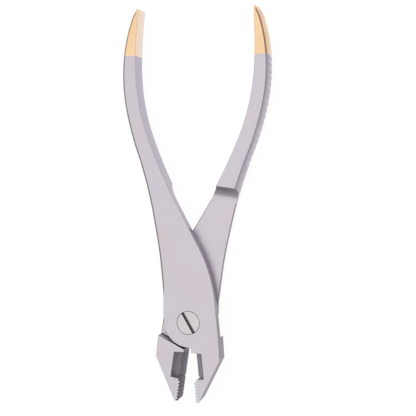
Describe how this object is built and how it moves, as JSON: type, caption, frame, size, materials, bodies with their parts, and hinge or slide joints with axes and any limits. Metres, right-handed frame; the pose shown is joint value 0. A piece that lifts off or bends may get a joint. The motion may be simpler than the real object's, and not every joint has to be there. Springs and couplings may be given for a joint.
{
  "type": "side-cutting flat-nose surgical wire pliers",
  "caption": "Satin stainless lap-joint wire pliers with serrated flat-nose tips, a side-cutter notch, a slotted pivot screw and fluted bow handles with gold-plated ends.",
  "frame": {"origin": "on the pivot axis, in the plane of the flat back that the tool lies on", "axes": "+Z along the pivot axis from the back to the front face, +Y along the tool from the pivot towards the handle ends, +X to the right as the picture shows it"},
  "size_m": [0.0692, 0.1804, 0.0095],
  "materials": {
    "satin_stainless": "satin",
    "screw_steel": "turned satin",
    "carbide": "ground"
  },
  "bodies": {
    "rear": {"rear_half": "satin_stainless", "pivot_screw": "screw_steel", "rear_cutter_insert": "carbide", "rear_grip_insert": "carbide"},
    "front": {"front_half": "satin_stainless", "front_cutter_insert": "carbide", "front_grip_insert": "carbide"}
  },
  "joints": [
    {"name": "pivot_hinge", "type": "hinge", "parent": "rear", "child": "front", "pos_m": [0, 0, 0.00475], "axis": [0, 0, 1], "range_deg": [-13.6, 30]}
  ]
}
